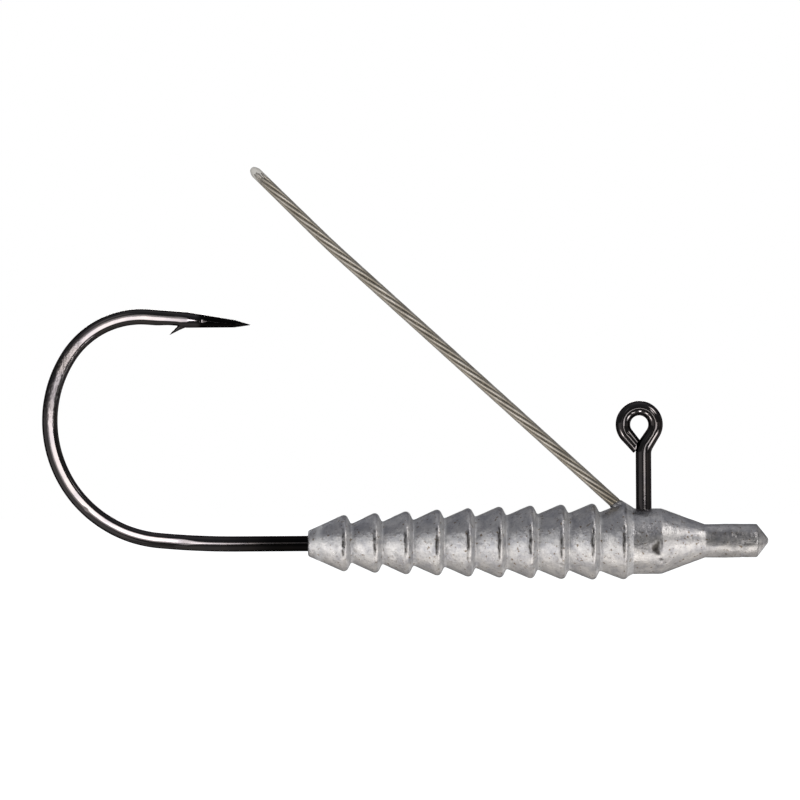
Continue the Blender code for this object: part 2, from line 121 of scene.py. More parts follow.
# The barb's rings: outer edge and inner edge, each back from the point and out from
# the leg's axis, and half the width
BARB_RINGS = (
    (0.00600, 0.00058, 0.00668, 0.00030, 0.00034),
    (0.00622, 0.00078, 0.00684, 0.00052, 0.00033),
    (0.00645, 0.00089, 0.00692, 0.00068, 0.00031),
    (0.00670, 0.00102, 0.00706, 0.00084, 0.00027),
    (0.00696, 0.00118, 0.00722, 0.00104, 0.00022),
    (0.00722, 0.00134, 0.00739, 0.00124, 0.00015),
    (0.00744, 0.00147, 0.00751, 0.00143, 0.00007),
    (0.00757, 0.00154, 0.00758, 0.00153, 0.00001),
)
BARB_SIDES = 12
# Where the plating is painted darker as shade, or rubbed, as places in the hook's plane
GROUND_START = -0.0421          # painted shade darkens the ground point's plating forward of here
GROUND_FADE = 0.0006
GROUND_HEIGHT = 0.004           # only the point leg stands above this
GROUND_PAINTED_SHADE = 0.88
# A painted highlight: the plating kept brighter at a smudge on the point leg
SMUDGE_HIGHLIGHT_PLACE = Vector((-0.0416, 0.0101))
SMUDGE_HIGHLIGHT_SIZE = 0.00022
SHANK_SHADE_START = -0.0412
SHANK_SHADE_FADE = 0.007
SHANK_PAINTED_SHADE = 0.85
SCUFF_PLACE = Vector((-0.0563, 0, 0.0052))
SCUFF_REACH = 0.0062
SCUFF_FADE = 0.004

# The casting, measured along its axis from the neck
RIB_COUNT = 10
RIB_PITCH = 0.00295
LAST_CREST = -0.00197
FIRST_CREST_RADIUS = 0.00267
LARGEST_CREST_RADIUS = 0.00361
LARGEST_RIB = 8
TAPER_BULGE = 0.5
GROOVE_DEPTH = 0.00079
CREST_ROUNDING = 0.00046
RIB_FRONT_ANGLE = radians(64)
GROOVE_FLOOR = 0.00014
TAIL_LENGTH = 0.0034
TAIL_EDGE_RADIUS = 0.00125
TAIL_FLAT_RADIUS = 0.0007
TAIL_CHAMFER = 0.00012
HEAD_RADIUS = 0.00311
HEAD_START = -0.0011
HEAD_END = 0.00164
CONE_ANGLE = radians(20.2)
PIN_RADIUS = 0.00158
PIN_START = HEAD_END + (HEAD_RADIUS - PIN_RADIUS) / tan(CONE_ANGLE)
PIN_END = 0.01072
PIN_CROWN = 0.00003
PIN_TIP_ANGLE = radians(52)
PIN_TIP_FLAT = 0.0002
CREASE_OFFSET = 0.00004
CREASE_DEPTH = 0.00005
CREASE_WIDTH = 0.00011
CREASE_WANDER = 0.00009
# How strongly painted shade darkens the skin in the folds and at the collar's mouth
FOLD_PAINTED_SHADE = 0.8
MOUTH_PAINTED_SHADE = 0.4
CREASE_END = LAST_CREST + 0.0005
CREST_STEPS = 8
CASTING_SIDES = 144
PROFILE_STEP = 0.00001
PROFILE_BLUR = 7                # profile steps that the corners are softened over
PIT_COUNT = 150
PIT_SEED = 7
COLLAR_LENGTH = 0.0024
COLLAR_RINGS = 31
COLLAR_STEP = 0.00008
COLLAR_SIDES = 56
COLLAR_WALL = 0.00012
COLLAR_TAPER = radians(6.2)
COLLAR_TILT = radians(18)
COLLAR_LIP = 0.0012
# The fillet at the collar's foot is smoothed in here, along from the mouth and aside
FILLET_DEEPEST = -0.0026
FILLET_SHALLOWEST = -0.0004
FILLET_REACH = 0.0021
FILLET_ROUNDS = 10
# Marks seen on the near side: place along, angle round the axis, radius and depth
CASTING_MARKS = (
    (0.00105, radians(188), 0.00030, 0.00016),
    (0.00085, radians(193), 0.00022, 0.00012),
    (0.00118, radians(199), 0.00022, 0.00012),
    (0.00125, radians(181), 0.00016, 0.00008),
    (-0.00048, radians(163), 0.00013, 0.00009),
    (0.00150, radians(214), 0.00016, 0.00009),
    (0.00190, radians(222), 0.00013, 0.00007),
)

# The cable guard
GUARD_ANGLE = radians(42.5)
GUARD_MOUTH_BACK = 0.00273
GUARD_MOUTH_RADIUS = 0.00366
GUARD_MOUTH = Vector((NECK_OFFSET - GUARD_MOUTH_BACK, 0, GUARD_MOUTH_RADIUS - AXIS_DROP))
GUARD_LENGTH = 0.0468
GUARD_TIP_LENGTH = 0.0085
GUARD_SET_LENGTH = 0.0034
GUARD_SET_ANGLE = radians(2.3)
COATING_RADIUS = 0.00055
COATING_SIDES = 40
COATING_STEP = 0.0004
COATING_ROOT = 0.00002
# The cap: place past the cable's length, and share of the coating's radius
TIP_START = 0.0005
TIP_PROFILE = ((-0.00046, 1.0), (-0.00026, 0.89), (-0.00006, 0.7), (0.0001, 0.46), (0.00015, 0.22))
# The cable thins a little toward its tip
TIP_THINNING = 0.07
TIP_THIN_START = 0.036
TIP_THIN_FADE = 0.01
# The coating is a lens: the strands look this thick through it
STRAND_RADIUS = 0.000162
STRAND_CIRCLE = 0.00037
STRAND_LAY = 0.0127
STRAND_COUNT = 6
STRAND_SIDES = 18
STRAND_STEP = 0.0003
STRAND_END = GUARD_LENGTH - 0.00045
STRAND_STAGGER = 0.0011         # the strands are cut at unlike lengths
STRAND_TAPER = 0.0012
CORE_SIDES = 14
CORE_TAPER = 0.0009
CABLE_ROOT = -0.0017
# The guard's direction out of the collar's mouth, and the way across it in the hook's plane
GUARD_DIRECTION = Vector((-cos(GUARD_ANGLE), 0, sin(GUARD_ANGLE)))
GUARD_UP = Vector((sin(GUARD_ANGLE), 0, cos(GUARD_ANGLE)))


# ---------------------------------------------------------------- mesh helpers


def link(obj):
    bpy.context.scene.collection.objects.link(obj)
    return obj


def new_object(name, vertices, faces, material=None):
    mesh = bpy.data.meshes.new(name)
    mesh.from_pydata([tuple(v) for v in vertices], [], faces)
    mesh.validate()
    mesh.shade_smooth()
    obj = link(bpy.data.objects.new(name, mesh))
    if material:
        mesh.materials.append(material)
    return obj


def ring_faces(rings, sides):
    """Quads between rings of the same number of sides, and one face at each end."""
    faces = []
    for i in range(rings - 1):
        for j in range(sides):
            a = i * sides + j
            b = i * sides + (j + 1) % sides
            faces.append((a, b, b + sides, a + sides))
    faces.append(tuple(reversed(range(sides))))
    faces.append(tuple((rings - 1) * sides + j for j in range(sides)))
    return faces


def outward(obj):
    work = bmesh.new()
    work.from_mesh(obj.data)
    bmesh.ops.recalc_face_normals(work, faces=work.faces)
    work.to_mesh(obj.data)
    work.free()


def apply_modifiers(obj):
    depsgraph = bpy.context.evaluated_depsgraph_get()
    mesh = bpy.data.meshes.new_from_object(obj.evaluated_get(depsgraph))
    obj.modifiers.clear()
    old = obj.data
    obj.data = mesh
    bpy.data.meshes.remove(old)
    mesh.shade_smooth()


def join_solid(obj, other):
    modifier = obj.modifiers.new("join", "BOOLEAN")
    modifier.operation = "UNION"
    modifier.solver = "EXACT"
    modifier.object = other
    apply_modifiers(obj)
    bpy.data.objects.remove(other, do_unlink=True)


def paint(obj, name, values):
    """Stores a number at each vertex for the materials."""
    obj.data.attributes.new(name, "FLOAT", "POINT").data.foreach_set("value", values)


BELL_BASE = 2.718


def ease(value):
    value = min(max(value, 0.0), 1.0)
    return value * value * (3 - 2 * value)


def bell(ratio):
    """1 at 0, falling off smoothly to almost nothing at 2."""
    return BELL_BASE ** -(ratio ** 2)


def soft_min(a, b, softness):
    """The lesser of two numbers, rounded where they are nearly alike."""
    gap = max(softness - abs(a - b), 0) / softness
    return min(a, b) - gap * gap * softness / 4


# ---------------------------------------------------------------- hook wire


class Route:
    """Stations on a plane route: point, heading and wire radius."""

    def __init__(self, start, heading, radius):
        self.stations = [(start.copy(), heading, radius)]

    @property
    def end(self):
        return self.stations[-1]

    def straight(self, length, step, radius=None):
        point, heading, first = self.end
        last = radius or first
        direction = Vector((cos(heading), 0, sin(heading)))
        count = max(ceil(length / step), 1)
        for i in range(1, count + 1):
            share = i / count
            place = point + direction * (length * share)
            self.stations.append((place, heading, first + (last - first) * share))

    def arc(self, bend_radius, turn, step, radius=None):
        point, heading, first = self.end
        last = radius or first
        side = 1 if turn > 0 else -1
        centre = point + Vector((-sin(heading), 0, cos(heading))) * (side * bend_radius)
        count = max(ceil(abs(turn) * bend_radius / step), 2)
        for i in range(1, count + 1):
            share = i / count
            angle = heading + turn * share
            place = centre - Vector((-sin(angle), 0, cos(angle))) * (side * bend_radius)
            self.stations.append((place, angle, first + (last - first) * share))


def bend_route():
    """From the shank's end back round the bend and out to the point."""
    route = Route(Vector((NECK_OFFSET - SHANK_LENGTH, 0, -AXIS_DROP)), pi, WIRE_RADIUS)
    route.arc(LEAD_IN_RADIUS, -LEAD_IN_TURN, NECK_STEP)
    route.arc(MAIN_BEND_RADIUS, -MAIN_BEND_TURN, BEND_STEP)
    route.arc(UPPER_BEND_RADIUS, -UPPER_BEND_TURN, BEND_STEP)
    route.straight(POINT_LEG - TAPER_LENGTH, LEG_STEP)
    route.straight(TAPER_LENGTH - SPEAR_LENGTH, LEG_STEP, SPEAR_RADIUS)
    route.straight(SPEAR_LENGTH, LEG_STEP, POINT_RADIUS)
    return route


def neck_lean():
    sideways = EYE_RADIUS * cos(NECK_ANGLE) - NECK_OFFSET
    return (sideways - NECK_SWEEP * (1 - cos(NECK_ANGLE))) / sin(NECK_ANGLE)


def neck_drop():
    return EYE_RADIUS * sin(NECK_ANGLE) + neck_lean() * cos(NECK_ANGLE) + NECK_SWEEP * sin(NECK_ANGLE)


def neck_centre():
    """The middle of the neck's sweep toward the eye."""
    return Vector((NECK_OFFSET + NECK_SWEEP, 0, -neck_drop()))


def eye_route():
    """From the shank's end through the casting, up the neck and round the loop to the cut arm."""
    route = Route(Vector((NECK_OFFSET - SHANK_LENGTH, 0, -AXIS_DROP)), 0, WIRE_RADIUS)
    route.straight(SHANK_SHOWN, SHANK_STEP)
    route.straight(SHANK_LENGTH - NECK_BEND - SHANK_SHOWN, HIDDEN_STEP)
    route.arc(NECK_BEND, pi / 2, SHANK_STEP)
    route.straight(AXIS_DROP - NECK_BEND - neck_drop(), NECK_STEP)
    route.arc(NECK_SWEEP, -NECK_ANGLE, LOOP_STEP)
    route.straight(neck_lean(), LOOP_STEP, EYE_WIRE_RADIUS)
    route.arc(EYE_RADIUS, 2 * pi + NECK_ANGLE - ARM_ANGLE, LOOP_STEP)
    angle = pi - NECK_ANGLE / 2
    normal = Vector((cos(angle), 0, sin(angle)))
    point, heading, _ = route.end
    direction = Vector((cos(heading), 0, sin(heading)))
    reach = NECK_SWEEP + WIRE_RADIUS + ARM_CLOSING_GAP - (point - neck_centre()).dot(normal)
    route.straight(reach / direction.dot(normal), LOOP_STEP, ARM_END_RADIUS)
    return route


def hook_stations():
    """All stations from the point to the cut arm, headings along the wire."""
    bend = bend_route().stations
    stations = [(point, heading + pi, radius) for point, heading, radius in reversed(bend)]
    return stations + eye_route().stations[1:]


def section_point(angle, radius, press, half):
    """One point of the wire's section: in the bend's plane, inner side positive, and out of it."""
    across = radius * cos(angle)
    out = radius * sin(angle)
    if press > 0:
        share = across / radius
        face = half - OUTER_ROLL * max(-share - OUTER_ROLL_START, 0) ** 2
        face -= INNER_ROLL * max(share - INNER_ROLL_START, 0) ** 2
        face = face * press + radius * ROUND_SHARE * (1 - press)
        out = (1 if out > 0 else -1) * soft_min(abs(out), face, FLAT_SOFTNESS)
    return across, out


def wire_ripple(place):
    """How far the wire's skin stands out: faint waves, fainter toward the point, and small marks."""
    worn = 0.3 + 0.7 * ease((-0.044 - place.x) / 0.004)
    ripple = worn * (noise.noise(place * 650) * 0.000007 + noise.noise(place * 2200) * 0.0000025)
    side = 1 if place.y < 0 else 0.3
    for x, z, size, depth in HOOK_MARKS:
        ripple -= depth * side * bell(sqrt((place.x - x) ** 2 + (place.z - z) ** 2) / size)
    return ripple


def make_hook(material):
    stations = hook_stations()
    sides = WIRE_SIDES
    vertices = []
    tip = stations[0][0]
    for index, (point, heading, radius) in enumerate(stations):
        across_way = Vector((-sin(heading), 0, cos(heading)))
        press = ease((FORGE_START - point.x) / FORGE_FADE)
        half = FORGED_HALF + FORGED_SWELL * ease((point.z - 0.001) / 0.007)
        back = (point - tip).length if index < LEG_STATIONS else 1
        trough = ease((back - TROUGH_START) / TROUGH_FALL) * ease((TROUGH_END - back) / TROUGH_RISE)
        for j in range(sides):
            angle = 2 * pi * j / sides
            across, out = section_point(angle, radius, press, half)
            across -= TROUGH_DEPTH * trough * max(cos(angle), 0)
            place = point + across_way * across + Vector((0, out, 0))
            vertices.append(place + (place - point).normalized() * wire_ripple(place))
    fit_arm(vertices, sides, stations[-1][1])
    hook = new_object("hook_wire", vertices, ring_faces(len(stations) + 1, sides), material)
    outward(hook)
    join_solid(hook, make_barb(material))
    paint(hook, "painted_plate_shade", [painted_plate_shade(vertex.co) for vertex in hook.data.vertices])
    paint(hook, "scuff", [scuff(vertex.co) for vertex in hook.data.vertices])
    return hook


def fit_arm(vertices, sides, heading):
    """Runs the cut arm's last ring on until it meets the neck, and rounds its rim."""
    direction = Vector((cos(heading), 0, sin(heading)))
    reach = NECK_SWEEP + WIRE_RADIUS + ARM_CONTACT_GAP
    rim = []
    for vertex in vertices[-sides:]:
        gap = vertex - neck_centre()
        gap.y = 0
        ahead = gap.dot(direction)
        to_neck = -ahead - sqrt(max(ahead * ahead - gap.dot(gap) + reach * reach, 0))
        rim.append(vertex + direction * soft_min(to_neck, ARM_REACH, ARM_SOFTNESS))
    middle = sum(rim, Vector()) / sides
    vertices[-sides:] = [vertex - direction * ARM_RIM for vertex in rim]
    vertices += [vertex.lerp(middle, ARM_RIM_SHARE) for vertex in rim]


def painted_plate_shade(place):
    """Painted shade on the plating: darker at the ground point and where the shank nears the casting, less
    so at a painted highlight on the smudge.
    """
    if place.z > GROUND_HEIGHT:
        # painted highlight at the smudge
        smudge_highlight = bell((Vector((place.x, place.z)) - SMUDGE_HIGHLIGHT_PLACE).length / SMUDGE_HIGHLIGHT_SIZE)
        return 1 - GROUND_PAINTED_SHADE * ease((place.x - GROUND_START) / GROUND_FADE) * (1 - 0.7 * smudge_highlight)
    if place.x < NECK_OFFSET - 0.01:
        return 1 - SHANK_PAINTED_SHADE * ease((place.x - SHANK_SHADE_START) / SHANK_SHADE_FADE)
    return 1


def scuff(place):
    """The rubbed stretch on the upper bend."""
    return ease((SCUFF_REACH - (place - SCUFF_PLACE).length) / SCUFF_FADE)


def make_barb(material):
    """The raised sliver: rings from its root in the wire out to its tip."""
    route = bend_route()
    tip, heading, _ = route.end
    back = -Vector((cos(heading), 0, sin(heading)))
    inward = Vector((sin(heading), 0, -cos(heading)))
    sides = BARB_SIDES
    vertices = []
    for outer_back, outer_out, inner_back, inner_out, half_width in BARB_RINGS:
        outer = tip + back * outer_back + inward * outer_out
        inner = tip + back * inner_back + inward * inner_out
        middle = (outer + inner) / 2
        half = (outer - inner) / 2
        for j in range(sides):
            angle = 2 * pi * j / sides
            vertices.append(middle + half * cos(angle) + Vector((0, half_width * sin(angle), 0)))
    barb = new_object("barb_part", vertices, ring_faces(len(BARB_RINGS), sides), material)
    outward(barb)
    return barb


# ---------------------------------------------------------------- casting


def crest_radius(index):
    share = min(index / LARGEST_RIB, 1)
    share += TAPER_BULGE * share * (1 - share)
    return FIRST_CREST_RADIUS + (LARGEST_CREST_RADIUS - FIRST_CREST_RADIUS) * share


def crest_place(index):
    return LAST_CREST - RIB_PITCH * (RIB_COUNT - 1 - index)


def groove_place(index):
    drop = GROOVE_DEPTH - CREST_ROUNDING * (1 - cos(RIB_FRONT_ANGLE))
    return crest_place(index) + CREST_ROUNDING * sin(RIB_FRONT_ANGLE) + drop / tan(RIB_FRONT_ANGLE)


def casting_corners():
    """The casting's outline as (along, radius) corners from the tail to the nose."""
    corners = []
    for index in range(RIB_COUNT):
        crest = crest_place(index)
        centre_radius = crest_radius(index) - CREST_ROUNDING
        if index:
            floor_radius = crest_radius(index - 1) - GROOVE_DEPTH
            floor_along = groove_place(index - 1) + GROOVE_FLOOR
            corners.append((groove_place(index - 1), floor_radius))
            corners.append((floor_along, floor_radius))
        else:
            floor_radius = TAIL_EDGE_RADIUS
            floor_along = crest - TAIL_LENGTH + TAIL_CHAMFER
            corners.append((crest - TAIL_LENGTH, TAIL_FLAT_RADIUS))
            corners.append((crest - TAIL_LENGTH, TAIL_EDGE_RADIUS - TAIL_CHAMFER))
            corners.append((floor_along, floor_radius))
        rise = centre_radius - floor_radius
        run = crest - floor_along
        distance = sqrt(rise * rise + run * run)
        slope = asin(rise / distance) + asin(CREST_ROUNDING / distance)
        for i in range(CREST_STEPS + 1):
            angle = -slope + (RIB_FRONT_ANGLE + slope) * i / CREST_STEPS
            along = crest + CREST_ROUNDING * sin(angle)
            corners.append((along, centre_radius + CREST_ROUNDING * cos(angle)))
    tip = PIN_END + (PIN_RADIUS - PIN_TIP_FLAT) / tan(PIN_TIP_ANGLE)
    corners += [
        (HEAD_START, HEAD_RADIUS),
        (HEAD_END, HEAD_RADIUS),
        (PIN_START, PIN_RADIUS),
        ((PIN_START + PIN_END) / 2, PIN_RADIUS + PIN_CROWN),
        (PIN_END, PIN_RADIUS),
        (tip, PIN_TIP_FLAT),
        (tip + PIN_TIP_FLAT / 10 / tan(PIN_TIP_ANGLE), PIN_TIP_FLAT / 5),
    ]
    return corners


def casting_profile():
    """The outline resampled: close together where it curves, wider where it is straight."""
    corners = np.array(casting_corners())
    steps = np.hypot(*np.diff(corners, axis=0).T)
    reach = np.concatenate([[0], np.cumsum(steps)])
    fine = np.arange(0, reach[-1], PROFILE_STEP)
    line = np.column_stack([np.interp(fine, reach, corners[:, k]) for k in (0, 1)])
    ends = 3 * PROFILE_BLUR
    kernel = np.exp(-0.5 * (np.arange(-ends, ends + 1) / PROFILE_BLUR) ** 2)
    kernel /= kernel.sum()
    padded = np.pad(line, ((ends, ends), (0, 0)), mode="edge")
    soft = np.column_stack([np.convolve(padded[:, k], kernel, mode="valid") for k in (0, 1)])
    heading = np.unwrap(np.arctan2(*np.gradient(soft, axis=0).T[::-1]))
    bend = np.abs(np.gradient(heading)) / PROFILE_STEP
    picked = [0]
    spent = 0.0
    for i in range(1, len(soft)):
        along = soft[i, 0]
        from_crease = (along - LAST_CREST + CREASE_OFFSET + RIB_PITCH / 2) % RIB_PITCH - RIB_PITCH / 2
        at_crease = abs(from_crease) < 0.00016 and along < CREASE_END
        widest = 0.00004 if at_crease else 0.00022
        spacing = min(max(0.1 / max(bend[i], 1e-6), 0.00005), widest)
        spent += PROFILE_STEP / spacing
        if spent >= 1:
            picked.append(i)
            spent = 0.0
    picked.append(len(soft) - 1)
    return soft[picked]


def dents():
    """Pits on the casting: place along, angle round it, radius, depth. The marked ones first."""
    draw = random.Random(PIT_SEED)
    pits = list(CASTING_MARKS)
    for _ in range(PIT_COUNT):
        along = draw.uniform(-0.031, 0.0105)
        size = draw.uniform(0.00008, 0.00022)
        pits.append((along, draw.uniform(-pi, pi), size, size * draw.uniform(0.25, 0.45)))
    return pits


def crease_depth(along, angle):
    """The ragged fold just behind each crest, deepest at the two sides of the casting."""
    if along > CREASE_END:
        return 0
    index = round((along - LAST_CREST + CREASE_OFFSET) / RIB_PITCH)
    if index <= -RIB_COUNT:
        return 0
    wander = CREASE_WANDER * noise.noise(Vector((index * 7.3, 6 * cos(angle), 6 * sin(angle))))
    offset = along - (LAST_CREST + index * RIB_PITCH - CREASE_OFFSET) - wander
    if abs(offset) > 3 * CREASE_WIDTH:
        return 0
    strength = noise.noise(Vector((index * 3.1 + 9, 9 * cos(angle), 9 * sin(angle))))
    strength += 5 * abs(cos(angle)) - 4.2
    return CREASE_DEPTH * ease(strength) * bell(offset / CREASE_WIDTH)


def skin_swell(along, radius, angle):
    """How far the cast skin stands out: waves of three sizes, the last in rings, less the folds."""
    if radius < 0.0009:
        return 0
    here = Vector((along, radius * cos(angle), radius * sin(angle)))
    swell = noise.noise(here * 420) * 0.000018
    swell += noise.noise(here * 1500 + Vector((5, 0, 0))) * 0.000012
    swell += noise.noise(Vector((along * 5200, here.y * 1400, here.z * 1400))) * 0.000009
    return swell - crease_depth(along, angle)


def make_casting(material):
    profile = casting_profile()
    sides = CASTING_SIDES
    grid = []
    for along, radius in profile:
        for j in range(sides):
            angle = 2 * pi * j / sides
            grid.append([along, radius + skin_swell(along, radius, angle), angle])
    grid = np.array(grid)
    for along, angle, size, depth in dents():
        gap = (grid[:, 2] - (angle % (2 * pi)) + pi) % (2 * pi) - pi
        distance = np.hypot(grid[:, 0] - along, gap * grid[:, 1])
        near = distance < 2.2 * size
        grid[near, 1] -= depth * np.exp(-((distance[near] / size) ** 2))
    along, radius, angle = grid.T
    places = np.column_stack([along, radius * np.cos(angle), radius * np.sin(angle)])
    places += np.array((NECK_OFFSET, 0, -AXIS_DROP))
    casting = new_object("casting", places, ring_faces(len(profile), sides), material)
    outward(casting)
    join_solid(casting, make_collar(material))
    soften_collar(casting)
    # The painted shade is stored at each vertex for the material
    paint(casting, "painted_shade", [skin_painted_shade(vertex.co) for vertex in casting.data.vertices])
    paint(casting, "front_wall", [front_wall(vertex.co) for vertex in casting.data.vertices])
    return casting


def skin_painted_shade(place):
    """Painted shade on the skin: darker in the folds, the marked pits and the collar's mouth, and on the
    pin.
    """
    along = place.x - NECK_OFFSET
    angle = atan2(place.z + AXIS_DROP, place.y)
    radius = sqrt(place.y ** 2 + (place.z + AXIS_DROP) ** 2)
    painted_shade = FOLD_PAINTED_SHADE * crease_depth(along, angle) / CREASE_DEPTH
    for mark_along, mark_angle, size, depth in CASTING_MARKS:
        gap = (angle - mark_angle + pi) % (2 * pi) - pi
        distance = sqrt((along - mark_along) ** 2 + (gap * radius) ** 2)
        if distance < 3 * size:
            painted_shade += min(depth / 0.00012, 1) * bell(distance / (1.1 * size))
    painted_shade += MOUTH_PAINTED_SHADE * ease((0.001 - (place - GUARD_MOUTH).length) / 0.0004)
    # The pin is painted darker, as shade
    painted_shade += pin_painted_shade(place) * ease((along - PIN_START + 0.0002) / 0.0004)
    return min(painted_shade, 1)


def pin_painted_shade(place):
    """Painted shade on the pin: darker all over and blotched, with a darker band above its middle and one
    below.
    """
    height = (place.z + AXIS_DROP) / PIN_RADIUS
    painted_shade = 0.2 + 0.2 * noise.noise(place * 1500)
    painted_shade += 0.22 * bell((height + 0.22) / 0.12) + 0.24 * bell((height - 0.42) / 0.2)
    return max(painted_shade, 0)


def front_wall(place):
    """1 on the steep front wall of a rib, which the mould leaves duller."""
    along = place.x - NECK_OFFSET
    if along > LAST_CREST + RIB_PITCH / 3:
        return 0
    ahead = (along - LAST_CREST) % RIB_PITCH
    return ease((ahead - 0.0002) / 0.00015) * ease((0.00095 - ahead) / 0.0001)


def make_collar(material):
    """The tapered boss round the cable, with a leaning mouth."""
    rings = []
    for i in range(COLLAR_RINGS):
        depth = COLLAR_STEP * i - COLLAR_LENGTH
        wall = COLLAR_WALL - depth * tan(COLLAR_TAPER)
        lip = max(depth + COLLAR_LIP, 0) / COLLAR_LIP
        rings.append((depth, COATING_RADIUS + wall * sqrt(max(1 - lip * lip, 0)) - 0.00001 * lip))
    rings.append((0.0, COATING_RADIUS * 0.6))
    sides = COLLAR_SIDES
    vertices = []
    for depth, radius in rings:
        for j in range(sides):
            angle = 2 * pi * j / sides
            lift = -tan(COLLAR_TILT) * radius * cos(angle) * ease((depth + 0.0022) / 0.0022)
            place = GUARD_MOUTH + GUARD_DIRECTION * (depth + lift) + GUARD_UP * (radius * cos(angle))
            vertices.append(place + Vector((0, radius * sin(angle), 0)))
    collar = new_object("collar_part", vertices, ring_faces(len(rings), sides), material)
    outward(collar)
    return collar


def soften_collar(casting):
    """Fillets the crease where the collar rises out of the casting."""
    work = bmesh.new()
    work.from_mesh(casting.data)
    fillet_top = GUARD_MOUTH + GUARD_DIRECTION * FILLET_SHALLOWEST
    reach = []
    for vertex in work.verts:
        from_mouth = vertex.co - GUARD_MOUTH
        along = from_mouth.dot(GUARD_DIRECTION)
        aside = (from_mouth - GUARD_DIRECTION * along).length
        below_top = (vertex.co - fillet_top).dot(GUARD_DIRECTION) < 0
        if below_top and FILLET_DEEPEST < along and aside < FILLET_REACH:
            reach.append(vertex)
    axes = {"use_axis_x": True, "use_axis_y": True, "use_axis_z": True}
    for _ in range(FILLET_ROUNDS):
        bmesh.ops.smooth_vert(work, verts=reach, factor=0.5, **axes)
    work.to_mesh(casting.data)
    work.free()
    casting.data.shade_smooth()


# ---------------------------------------------------------------- guard cable


def guard_frame(along):
    """Middle, direction and in-plane normal of the cable, along from the collar's mouth."""
    bend_end = GUARD_LENGTH - GUARD_TIP_LENGTH
    bend_start = bend_end - GUARD_SET_LENGTH
    bend_radius = GUARD_SET_LENGTH / GUARD_SET_ANGLE
    turn = (min(max(along, bend_start), bend_end) - bend_start) / bend_radius
    angle = GUARD_ANGLE + turn
    direction = Vector((-cos(angle), 0, sin(angle)))
    normal = Vector((sin(angle), 0, cos(angle)))
    middle = GUARD_MOUTH + GUARD_DIRECTION * (min(along, bend_start) + bend_radius * sin(turn))
    middle = middle + GUARD_UP * (bend_radius * (1 - cos(turn))) + direction * max(along - bend_end, 0)
    return middle, direction, normal


def thinned(along):
    """The share of its size that the cable keeps toward its tip."""
    return 1 - TIP_THINNING * ease((along - TIP_THIN_START) / TIP_THIN_FADE)


def sweep(name, path, radii, sides, material):
    """A closed tube through path points (point, direction, normal)."""
    vertices = []
    for (point, direction, normal), radius in zip(path, radii):
        side = direction.cross(normal)
        for j in range(sides):
            angle = 2 * pi * j / sides
            vertices.append(point + normal * (radius * cos(angle)) + side * (radius * sin(angle)))
    obj = new_object(name, vertices, ring_faces(len(path), sides), material)
    outward(obj)
    return obj


def spaced(start, end, step):
    count = ceil((end - start) / step)
    return [start + (end - start) * i / count for i in range(count + 1)]


def tapered(places, end, length):
    """The wire's radius at each place, less at its cut end."""
    return [STRAND_RADIUS * (0.5 + 0.5 * ease((end - along) / length)) for along in places]


def make_strand(index, material):
    path = []
    end = STRAND_END - STRAND_STAGGER * ((index * 5) % STRAND_COUNT) / STRAND_COUNT
    places = spaced(CABLE_ROOT, end, STRAND_STEP)
    pitch = 2 * pi * STRAND_CIRCLE / STRAND_LAY
    for along in places:
        middle, direction, normal = guard_frame(along)
        angle = 2 * pi * (index / STRAND_COUNT - along / STRAND_LAY)
        side = direction.cross(normal)
        out = normal * cos(angle) + side * sin(angle)
        round_way = side * cos(angle) - normal * sin(angle)
        heading = (direction - round_way * pitch).normalized()
        path.append((middle + out * (STRAND_CIRCLE * thinned(along)), heading, out))
    radii = tapered(places, end, STRAND_TAPER)
    strand = sweep(f"guard_strand_{index + 1}", path, radii, STRAND_SIDES, material)
    # Painted shade and light: darker toward the collar and between the strands, lighter on each strand's
    # outer side and at its cut end
    strand_painted_light = []
    for along in places:
        lit = 0.15 + 0.85 * ease(along / 0.0024)
        tip = ease((along - end + 0.0013) / 0.0006)
        for j in range(STRAND_SIDES):
            outside = ease((cos(2 * pi * j / STRAND_SIDES) - 0.1) / 0.75)
            strand_painted_light.append(max(lit * outside, tip))
    paint(strand, "strand_painted_light", strand_painted_light)
    return strand


def make_core(material):
    places = spaced(CABLE_ROOT, STRAND_END, STRAND_STEP)
    path = [guard_frame(along) for along in places]
    radii = tapered(places, STRAND_END, CORE_TAPER)
    core = sweep("guard_core_strand", path, radii, CORE_SIDES, material)
    # Painted shade: the core stays dark, lighter only near its cut end
    strand_painted_light = []
    for along in places:
        strand_painted_light += [ease((along - STRAND_END + 0.0018) / 0.0008)] * CORE_SIDES
    paint(core, "strand_painted_light", strand_painted_light)
    return core


def make_coating(material):
    """The clear coating, run in round the wires and rounded past their ends."""
    places = spaced(COATING_ROOT, GUARD_LENGTH - TIP_START, COATING_STEP)
    stations = [(along, COATING_RADIUS) for along in places]
    for ahead, share in TIP_PROFILE:
        stations.append((GUARD_LENGTH + ahead, COATING_RADIUS * share))
    sides = COATING_SIDES
    vertices = []
    for along, radius in stations:
        middle, direction, normal = guard_frame(along)
        side = direction.cross(normal)
        for j in range(sides):
            angle = 2 * pi * j / sides
            wave = noise.noise(Vector((along * 700, 1.5 * cos(angle), 1.5 * sin(angle))))
            reach = radius * thinned(along) * (1 + 0.01 * wave)
            vertices.append(middle + normal * (reach * cos(angle)) + side * (reach * sin(angle)))
    faces = ring_faces(len(stations), sides)
    coating = new_object("guard_cable_coating", vertices, faces, material)
    outward(coating)
    return coating


# ---------------------------------------------------------------- materials


